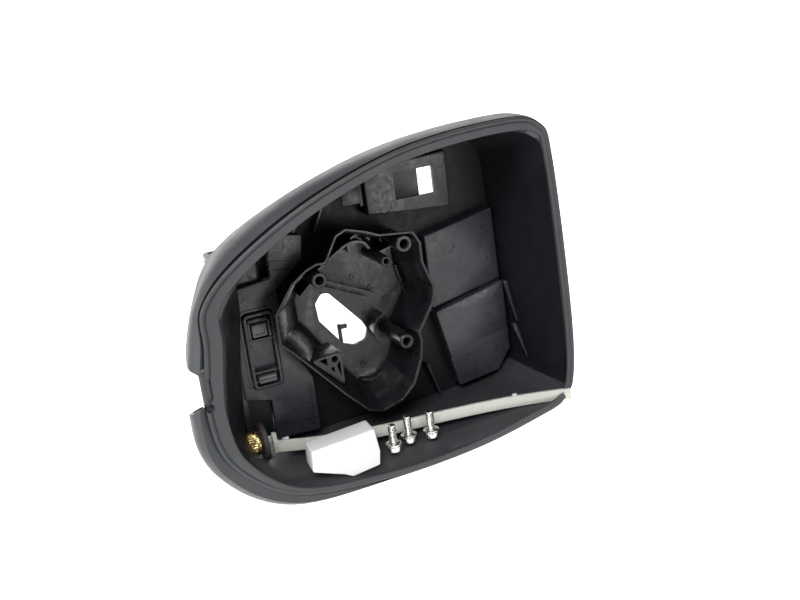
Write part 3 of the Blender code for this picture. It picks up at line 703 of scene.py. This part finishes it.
def build_carrier():
    """The plate beside the bracket: two steps across its arm and its ejector marks."""
    outline = [(-85.5, 11.5), (-61.5, 14), (-59.5, 42), (-37, 37), (-39.5, 22), (-58.5, 6),
               (-58.5, -28), (-44, -56), (-44.5, -93), (-74, -92), (-73.5, -65), (-90, -61),
               (-89, -25)]
    socket = rounded(rectangle(-84, -55.6, -63.4, -4.4), 4)
    carrier = tray("socket_carrier", outline, 60, 66, 1.8, .6, socket)
    cuts = [ejector_mark(-53.6, 33.2, 60, 4.2), ejector_mark(-58.8, -70.1, 60, 4.4),
            bar("groove", [(-64, 27), (-45, 22.5)], 1.1, 59, 60.9),
            bar("groove", [(-64, 20.5), (-47, 17)], 1.1, 59, 60.7),
            bar("groove", [(-70, -83), (-46, -85)], .8, 59, 60.6),
            bar("groove", [(-47.5, -60), (-48, -90)], .7, 59, 60.5)]
    combine(carrier, cuts, "DIFFERENCE")
    collar = plate("collar", offset(socket, 1.6), 59.3, 61, holes=[offset(socket, .1)])
    posts = [rod("post", 1.5, 59.2, 61, (x, 0, z), "Y", 20) for x, z in
             ((-50, -86), (-69, -88), (-80, 3), (-62, 2))]
    # Painted shade: two dark sheets behind the carrier, one behind the lamp's pocket and one along
    # its inboard edge, put where only shade shows.
    shade_sheets = [plate("shade_sheet", [(-74.5, -62), (-89, -60), (-90, -86), (-74, -91)], 63.5, 65.5),
               bar("shade_sheet", [(-86, 14), (-89.5, -25), (-92, -61), (-90, -92)], 6, 62, 64)]
    combine(carrier, [collar, *shade_sheets, *posts], "UNION")
    dress(carrier, satin_black(), "head", ["inboard_carrier"])
    # Painted shade: the carrier's faces beyond a depth of 62.5 mm, its sheets among them, take the
    # darker black.
    shade_deeper(carrier, 62.5)


# ---------------------------------------------------------------- the bracket

def bracket_at(depth):
    share = (depth - BRACKET_NEAR) / (BRACKET_FAR - BRACKET_NEAR)
    return [(x - (x + 6) * (.34 if x < -6 else .14) * share, z - (z + 22) * .14 * share)
            for x, z in BRACKET]


def bracket_ring(depth, inset):
    line = rounded(offset(bracket_at(depth), -inset), 3, 4)
    return [(x, depth, z) for x, z in line]


def boss(x, z, outer, bore, end):
    """A screw boss whose mouth has a raised ring and a chamfer."""
    near = BRACKET_NEAR - .5
    return turned("boss", [(bore, end), (outer + .3, end), (outer, near + 6), (outer, near + .6),
                           (outer - .6, near), (bore + .7, near), (bore, near + .8)],
                  (x, 0, z), "Y", 36)


def bracket_ribs():
    """Everything that stands on the pan's floor."""
    floor = BRACKET_FAR - WALL
    straight = [([(-30, 4.5), (8, -14)], 1.6, 68), ([(-31, .2), (3, -16.2)], 1.4, 70),
                ([(-44, -2), (-34, 6.5)], 1.2, 60), ([(20, 17), (12, 15)], 1.4, 60),
                ([(26, 1), (31, -20), (20, -40)], 1.0, 72)]
    curved = [(arc(-1, -53, 20, -110, 22), 1.5, 71.5), (arc(13, -38, 9.6, 100, 235), 1.3, 66),
              (spline([(-33, 14), (-22, 21), (-10, 27), (-1, 26), (3, 21)], 6, False), 1.4, 52),
              (arc(-2, 23, 7.5, 20, 200), 1.2, 56)]
    ribs = [bar("rib", route, width, low, floor + .8) for route, width, low in straight + curved]
    pins = [turned("pin", [(0, floor + .5), (1.9, floor + .5), (1.7, floor - 1), (.9, floor - 1),
                           (.9, floor - .2), (0, floor - .2)], (x, 0, z), "Y", 20)
            for x, z in ((-3.3, -1), (8, -11.2), (17.5, -21.1), (1.9, -28.7), (-4, -62))]
    round_boss = rod("round_boss", 5.2, 64, floor + .7, (-2, 0, 22.5), "Y")
    return ribs + pins + [round_boss]


def build_bracket():
    """The deep glossy pan with its bosses, ribs, honeycomb corner and wire hole."""
    floor = BRACKET_FAR - WALL
    rings = [bracket_ring(BRACKET_FAR, -3), bracket_ring(PANEL[1] + GAP, -3),
             bracket_ring(PANEL[1] + GAP, 0), bracket_ring(60, 0), bracket_ring(BRACKET_NEAR + .7, 0),
             bracket_ring(BRACKET_NEAR + .1, .5), bracket_ring(BRACKET_NEAR + .1, 1.5),
             bracket_ring(BRACKET_NEAR + .7, 2), bracket_ring(60, 2.3),
             bracket_ring(floor - 2, 2.6), bracket_ring(floor - .5, 3.2), bracket_ring(floor, 4.6)]
    pan = loft("bracket_pan", rings, False)
    combine(pan, bracket_ribs(), "UNION")
    web = plate("web", rounded([(-49, -39), (-28, -37.5), (-28.5, -61)], 2), 42, 66)
    combine(pan, [soften(web, .5, 2)] + [boss(*values) for values in BOSSES], "UNION")
    pockets = [[(-43.5, -40.3), (-38.2, -39.6), (-38.2, -45)], [(-36.8, -46.8), (-34.3, -46.2),
               (-33.8, -51.3)], [(-32.3, -46.3), (-29.9, -42.4), (-30.1, -56)]]
    cuts = [plate("pocket", rounded(pocket, .5, 2), 41, 58) for pocket in pockets]
    cuts.append(rod("pocket", 2.1, 41, 56, (-33.2, 0, -41.6), "Y"))
    cuts.append(plate("wire_hole", rounded(WIRE_HOLE, 4), floor - 14, BRACKET_FAR + 8))
    combine(pan, cuts, "DIFFERENCE")
    lug = soften(plate("lug", [(14, -75), (30, -70), (31, -64), (22, -66)], 52, 66), .4, 2)
    combine(pan, [lug], "UNION")
    dress(pan, gloss_black(), "head", ["bracket"], 35)

    back = BRACKET_FAR
    base = block("cable_clip", (-19, back + GAP, -61), (-11, back + 3, -50), .6)
    post = block("post", (-17, back + 1.5, -52), (-14.5, back + 4, -33), .5)
    hook = block("hook", (-16.4, back + 1, -36.5), (-10.5, back + 3.5, -33.4), .5)
    combine(base, [post, hook], "UNION")
    dress(base, gloss_black(), "head", ["cable_hook"])


# ---------------------------------------------------------------- socket, clips and lights

def build_socket():
    outer = rounded(rectangle(-83.5, -55, -64, -5), 4)
    frame_piece = soften(plate("plug_socket", outer, 57, 67), .7, 3, 40)
    combine(frame_piece, [soften(plate("pocket", offset(outer, -2), 50, 64.5), .3, 2)],
            "DIFFERENCE")
    bars = [block("bar", (-83, 59.5, z), (-64.5, 66, z + 1.6), .3) for z in (-24, -45.5)]
    tabs = [block("tab", (x, 58.6, -22), (x + 1.8, 65, -11), .3) for x in (-81.2, -68.1)]
    steps = [block("step", (-80.6, 60.5, -12), (-67, 65, -9.5), .3),
             block("step", (-81, 62, -43), (-79.6, 65, -27), .2)]
    combine(frame_piece, bars + tabs + steps, "UNION")
    dress(frame_piece, satin_black(), "head", ["socket_frame"])
    upper = block("latch_upper", (-78.5, 58.2, -21), (-69, 64.1, -13), .6)
    notch = block("gap", (-77, 56, -19.6), (-70.5, 59.4, -15.6), .3)
    combine(upper, [notch], "DIFFERENCE")
    dress(upper, latch_grey(), "head", ["socket_latch_upper"])
    lower = block("latch_lower", (-79.5, 57.6, -51.5), (-68, 64.1, -47), .6)
    combine(lower, [block("gap", (-81, 56, -49.6), (-66, 58.6, -48.7))], "DIFFERENCE")
    dress(lower, latch_grey(), "head", ["socket_latch_lower"])

    clip = block("cover_clip", (-8.3, 59, 49), (4.6, 61.5, 60.5), .6)
    combine(clip, [block("line", (-9, 58, 51.2), (1.5, 59.4, 51.9))], "DIFFERENCE")
    combine(clip, [block("stem", (3.4, 59.2, 47), (5.6, PANEL[0] - GAP, 63), .4)], "UNION")
    dress(clip, satin_black(), "head", ["cap_clip"])


def strip_outline(thickness):
    route = spline(STRIP_ROUTE, 8, closed=False)
    left, right = [], []
    for i, point in enumerate(route):
        along = route[min(i + 1, len(route) - 1)] - route[max(i - 1, 0)]
        side = Vector((-along.y, along.x)).normalized() * thickness / 2
        left.append(point + side)
        right.append(point - side)
    return left + right[::-1]


def build_strip():
    strip = soften(plate("light_strip", strip_outline(STRIP_THICK), STRIP_LOW, STRIP_HIGH, "XY"),
                   .45, 2, 50)
    tab = block("tab", (-80.5, 44, -94), (-77.5, 47.5, -80.5), .5)
    nub = block("nub", (73, 11.6, STRIP_HIGH - 1), (76, 13.4, STRIP_HIGH + 1.4), .3)
    combine(strip, [tab, nub], "UNION")
    dress(strip, cream_guide(), "head", ["light_guide"])

    front = [(-66.8, -80.5), (-67.8, -94), (-48.5, -101.2), (-43.5, -104), (-25.5, -101.5),
             (-24.3, -92.5), (-26.2, -77)]
    back = [(x, max(z, -95.2) + 1) for x, z in front]
    rings = [[(x, depth, z) for x, z in rounded(line, 1.5, 4)]
             for line, depth in ((front, 3.2), (back, 17))]
    module = soften(loft("light_box", rings, False), .6, 3, 40)
    dress(module, white_module(), "head", ["light_module"])


def build_lamp():
    """The brass sleeve with its knurl, the seal round it and the lens at its mouth."""

    def knurl(turn, height):
        return KNURL_DEPTH * math.cos(turn * KNURL_RIDGES) if -96.6 < height < -91 else 0

    profile = [(7.3, -88.6), (7.5, -89.2), (7.5, -91), (7.3, -91.2), (7.3, -93.4), (7.3, -95),
               (7.3, -96.4), (7.5, -96.8), (7.5, -98), (5.6, -98), (5.6, -88.6)]
    sleeve = turned("brass_sleeve", profile, LAMP_CENTRE, "X", 120, knurl)
    dress(sleeve, plain_brass(), "head", ["lamp_sleeve"])
    profile = [(11.2, -84.6), (11.6, -85), (11.6, -87.6), (11.2, -88), (8.8, -88), (8.4, -87.6),
               (8.4, -85), (8.8, -84.6)]
    seal = turned("lamp_gasket", profile, LAMP_CENTRE, "X", 56)
    dress(seal, dark_rubber(), "head", ["lamp_seal"])
    profile = [(0, -97), (5.2, -97), (5.2, -90), (3.6, -88.8), (0, -88.8)]
    core = turned("lamp_core", profile, LAMP_CENTRE, "X", 40)
    dress(core, white_module(), "head", [])


# ---------------------------------------------------------------- fasteners

def threads(low, high):
    """How far the thread stands proud at a height and a turn round the shank."""
    pitch = sizes().thread_pitch / MM

    def ripple(turn, height):
        if not low <= height <= high:
            return 0
        way = (height / pitch - turn / math.tau) % 1
        fade = min(1, (height - low) / pitch, (high - height) / pitch)
        return (abs(way - .5) * 2 - .5) * .5 * max(fade, 0)
    return ripple


def build_screws():
    """Three loose cap screws standing on their heads, each with its conical washer."""
    for number, (x, y, z) in enumerate(SCREWS, 1):
        shank = [(2.28, 4.6 + 13.3 * k / 100) for k in range(100, -1, -1)]
        head = [(3.4, 4.6), (3.9, 4.5), (4.2, 4.1), (4.25, 3.4), (4.25, 1.2), (4.0, .5), (3.4, .1),
                (2.3, 0), (2.2, .3), (2.2, 2.4)]
        profile = [(0, 18.1), (1.7, 18.1), (2.1, 17.9), *shank, *head, (0, 2.4)]
        screw = turned(f"cap_screw_{number}", profile, (x, y, z), "Z", 32, threads(5.4, 17.6))
        dress(screw, bright_steel(), f"screw_{number}", [f"head_screw_{number}"], 60)
        low = 4.9
        profile = [(4.7, low + 1.1), (5.1, low + .7), (5.1, low + .3), (4.9, low), (3.2, low),
                   (2.8, low + .2), (2.8, low + 1.0), (3.1, low + 1.3), (3.9, low + 1.25)]
        washer = turned(f"washer_{number}", profile, (x, y, z), "Z", 48)
        dress(washer, bright_steel(), f"screw_{number}", [f"head_washer_{number}"])


def build_fold_unit():
    """The housing on the head, its cap and the parts on the shaft."""
    left, right, front, back, low, high = HOUSING
    plan = rounded(rectangle(left, front, right, back), 5)
    housing = soften(plate("pivot_housing", plan, low, high, "XY"), .8, 3, 40)
    neck = plate("neck", rounded([(-66.5, -46), (-36, -30), (-36, 8), (-66.5, 20)], 3), 79.5, 86)
    ribs = [block("rib", (x, back - 3, low + 3), (x + 1.6, back + .9, high - 3), .3)
            for x in (-90, -84, -76, -70)]
    gussets = [block("gusset", (-66, 85, z), (-40, 90, z + 1.6), .3) for z in (-26, -9, 3)]
    combine(housing, [soften(neck, .6, 2), *ribs, *gussets], "UNION")
    stepped = turned("bore", [(0, high + 5), (12.4, high + 5), (12.4, low + 4), (7.3, low + 4),
                              (7.3, low - 5), (0, low - 5)], (*AXIS, 0))
    holes = [rod("hole", 2.3, 75, 92, (-41, 0, z), "Y", 24) for z in (1, -24)]
    combine(housing, [stepped, *holes], "DIFFERENCE")
    dress(housing, satin_black(), "head", ["fold_housing"])

    cap = soften(plate("pivot_cap", plan, high + GAP, high + 4, "XY"), .9, 3, 40)
    inset = [plate("inset", offset(plan, -3), high + 3.4, high + 6, "XY"),
             rod("wire_way", 5, high - 2, high + 8, (*AXIS, 0))]
    combine(cap, inset, "DIFFERENCE")
    dress(cap, satin_black(), "head", ["fold_housing_cap"])
    for node in ("neck_screw_1", "neck_screw_2"):
        refine(node, bright_steel(), "head", .3)
    for node in ("pivot_shaft", "lower_cam_ring", "spring_washer", "pivot_nut"):
        refine(node, bright_steel(), "foot", .4)
    refine("upper_cam_ring", bright_steel(), "head", .4)
    keep("pivot_spring", bright_steel())


def build_foot():
    """The cast foot under the fold shaft, its inserts and the gasket on the door."""
    top, face = HOUSING[4] - 13, DOOR.z + 2.0
    foot = rod("cast_foot", FOOT_RADIUS, top - 12, top, (*AXIS, 0), steps=56)
    arm = [(-94, 84), (-95, 106), (-92, 142), (-66, 142), (-63, 106), (-64, 84)]
    solids = [plate("arm", rounded(arm, 8), top - 24, top - 4, "XY"),
              plate("post", rounded(rectangle(-92.5, 104, -65.5, 143), 9), face + 3, top - 8, "XY"),
              soften(plate("flange", rounded(rectangle(*FLANGE), 8), face, face + 9, "XY"), 1, 3)]
    solids += [block("rib", (x, 100, face + 5), (x + 2.4, 148, face + 17), .6)
               for x in (-98, -62.4)]
    combine(foot, solids, "UNION")
    spots = [(DOOR.x + INSERT_CIRCLE * math.cos(math.radians(turn)),
              DOOR.y + INSERT_CIRCLE * math.sin(math.radians(turn))) for turn in (90, 210, 330)]
    holes = [rod("hole", 5.3, face - 1, face + 8, (a, b, 0)) for a, b in spots]
    combine(foot, holes + [rod("wire_way", 4.5, top - 30, top + 2, (*AXIS, 0))], "DIFFERENCE")
    dress(foot, cast_alloy(), "foot", ["foot_base"])
    for number, (a, b) in enumerate(spots, 1):
        profile = [(4.7, 7.6), (5, 7.2), (5, 4.6), (4.6, 4.2), (4.6, 3.4), (5, 3), (5, .4), (4.7, 0),
                   (2.9, 0), (2.6, .4), (2.6, 7.6)]
        insert = turned(f"brass_insert_{number}", profile, (a, b, face), "Z", 60)
        dress(insert, plain_brass(), "foot", [f"door_insert_{number}"])
    refine("door_gasket", dark_rubber(), "foot", .3)


# ---------------------------------------------------------------- stage

def area_light(name, where, target, size, power, colour=(1, 1, 1)):
    lamp = bpy.data.lights.new(name, "AREA")
    lamp.shape, lamp.size, lamp.energy, lamp.color = "DISK", size, power, colour
    light = bpy.data.objects.new(name, lamp)
    bpy.context.scene.collection.objects.link(light)
    light.location = where
    light.rotation_euler = (Vector(where) - Vector(target)).to_track_quat("Z", "Y").to_euler()
    return light


def build_stage():
    scene = bpy.context.scene
    scene.view_settings.view_transform = "Standard"
    world = bpy.data.worlds.new("Studio")
    world.use_nodes = True
    world.node_tree.nodes["Background"].inputs["Color"].default_value = (1, 1, 1, 1)
    world.node_tree.nodes["Background"].inputs["Strength"].default_value = .22
    scene.world = world

    low, high = CAD_BOX
    middle = (low + high) / 2
    paper = surface("Studio paper", (.9, .9, .9), .8, grain=(300, .02), blotch=(4, .005))
    shader = paper.node_tree.nodes["Principled BSDF"]
    shader.inputs["Emission Color"].default_value = (1, 1, 1, 1)
    shader.inputs["Emission Strength"].default_value = 1
    ground = Matrix.Translation((middle.x, middle.y, low.z - sizes().floor_drop))
    wall = Matrix.Translation(middle + Vector((.8, 2.4, 0))) @ Matrix.Rotation(math.pi / 2, 4, "X")
    for name, where, half in (("studio_floor", ground, 3), ("studio_wall", wall, 4)):
        form = bmesh.new()
        bmesh.ops.create_grid(form, x_segments=1, y_segments=1, size=half, matrix=where)
        sheet = add_mesh(name, form)
        sheet.data.materials.append(paper)

    area_light("Key light", middle + Vector((-.45, -.9, .9)), middle, .7, 18)
    area_light("Front fill", middle + Vector((.36, -1.15, -.08)), middle, .42, 2)
    area_light("Side edge", middle + Vector((-1.0, -.1, .3)), middle, .8, 8)

    azimuth, elevation, roll = map(math.radians, CAMERA_TURN)
    back = Vector((math.sin(azimuth) * math.cos(elevation),
                   -math.cos(azimuth) * math.cos(elevation), math.sin(elevation)))
    right = Vector((math.cos(azimuth), math.sin(azimuth), 0))
    up = back.cross(right)
    across = right * math.cos(roll) - up * math.sin(roll)
    upward = right * math.sin(roll) + up * math.cos(roll)
    data = bpy.data.cameras.new("Camera")
    data.lens, data.sensor_width, data.clip_start = CAMERA_LENS, 36, .01
    camera = bpy.data.objects.new("Camera", data)
    scene.collection.objects.link(camera)
    turn = Matrix((across, upward, back)).transposed().to_4x4()
    camera.matrix_world = Matrix.Translation(HEAD + back * CAMERA_DISTANCE) @ turn
    scene.camera = camera


# ---------------------------------------------------------------- operators and panel

class MirrorStep:
    bl_options = {"REGISTER", "UNDO"}

    def execute(self, context):
        self.build()
        return {"FINISHED"}


class MIRROR_OT_stage(MirrorStep, bpy.types.Operator):
    """Set up the floor, the lights and the camera"""
    bl_idname = "mirror.stage"
    bl_label = "Stage"
    build = staticmethod(build_stage)


class MIRROR_OT_rim(MirrorStep, bpy.types.Operator):
    """Build the rim moulding with its bead, face and tapering throat"""
    bl_idname = "mirror.rim"
    bl_label = "Rim"
    build = staticmethod(build_rim)


class MIRROR_OT_skins(MirrorStep, bpy.types.Operator):
    """Build the upper and lower outer skins"""
    bl_idname = "mirror.skins"
    bl_label = "Outer Skins"
    build = staticmethod(build_skins)


class MIRROR_OT_panel(MirrorStep, bpy.types.Operator):
    """Build the rear panel with its raised blocks, window and ribs"""
    bl_idname = "mirror.panel"
    bl_label = "Rear Panel"
    build = staticmethod(build_panel)


class MIRROR_OT_carrier(MirrorStep, bpy.types.Operator):
    """Build the plate that carries the socket"""
    bl_idname = "mirror.carrier"
    bl_label = "Socket Carrier"
    build = staticmethod(build_carrier)


class MIRROR_OT_bracket(MirrorStep, bpy.types.Operator):
    """Build the glossy bracket and the cable clip behind it"""
    bl_idname = "mirror.bracket"
    bl_label = "Bracket"
    build = staticmethod(build_bracket)


class MIRROR_OT_socket(MirrorStep, bpy.types.Operator):
    """Build the socket, its latches and the cover clip"""
    bl_idname = "mirror.socket"
    bl_label = "Socket and Clip"
    build = staticmethod(build_socket)


class MIRROR_OT_strip(MirrorStep, bpy.types.Operator):
    """Build the light strip and the white module in front of it"""
    bl_idname = "mirror.strip"
    bl_label = "Light Strip"
    build = staticmethod(build_strip)


class MIRROR_OT_lamp(MirrorStep, bpy.types.Operator):
    """Build the lamp's brass sleeve and its seal"""
    bl_idname = "mirror.lamp"
    bl_label = "Lamp"
    build = staticmethod(build_lamp)


class MIRROR_OT_screws(MirrorStep, bpy.types.Operator):
    """Build the three loose screws and their washers"""
    bl_idname = "mirror.screws"
    bl_label = "Loose Screws"
    build = staticmethod(build_screws)


class MIRROR_OT_fold_unit(MirrorStep, bpy.types.Operator):
    """Build the housing and shaft that the head folds on"""
    bl_idname = "mirror.fold_unit"
    bl_label = "Fold Unit"
    build = staticmethod(build_fold_unit)


class MIRROR_OT_foot(MirrorStep, bpy.types.Operator):
    """Build the cast foot, its inserts and gasket"""
    bl_idname = "mirror.foot"
    bl_label = "Foot"
    build = staticmethod(build_foot)


STEPS = (MIRROR_OT_stage, MIRROR_OT_rim, MIRROR_OT_skins, MIRROR_OT_panel, MIRROR_OT_carrier,
         MIRROR_OT_bracket, MIRROR_OT_socket, MIRROR_OT_strip, MIRROR_OT_lamp, MIRROR_OT_screws,
         MIRROR_OT_fold_unit, MIRROR_OT_foot)


class MIRROR_PT_builder(bpy.types.Panel):
    bl_label = "Door Mirror"
    bl_idname = "MIRROR_PT_builder"
    bl_space_type = "VIEW_3D"
    bl_region_type = "UI"
    bl_category = "Mirror"

    def draw(self, context):
        layout = self.layout
        for group in (context.scene.mirror_sizes, context.scene.mirror_colours):
            column = layout.column(align=True)
            for name in group.__annotations__:
                column.prop(group, name)
        for step in STEPS:
            layout.operator(step.bl_idname)


CLASSES = (MirrorSizes, MirrorColours, *STEPS, MIRROR_PT_builder)


def register():
    for item in CLASSES:
        bpy.utils.register_class(item)
    bpy.types.Scene.mirror_sizes = PointerProperty(type=MirrorSizes)
    bpy.types.Scene.mirror_colours = PointerProperty(type=MirrorColours)


def unregister():
    del bpy.types.Scene.mirror_colours
    del bpy.types.Scene.mirror_sizes
    for item in reversed(CLASSES):
        bpy.utils.unregister_class(item)


def write_sizes():
    bpy.context.view_layer.update()


def main():
    for thing in list(bpy.data.objects):
        if thing.name in ("Cube", "Light", "Camera"):
            bpy.data.objects.remove(thing, do_unlink=True)
    register()
    for step in STEPS:
        family, action = step.bl_idname.split(".")
        getattr(getattr(bpy.ops, family), action)()
    write_sizes()


if __name__ == "__main__":
    main()
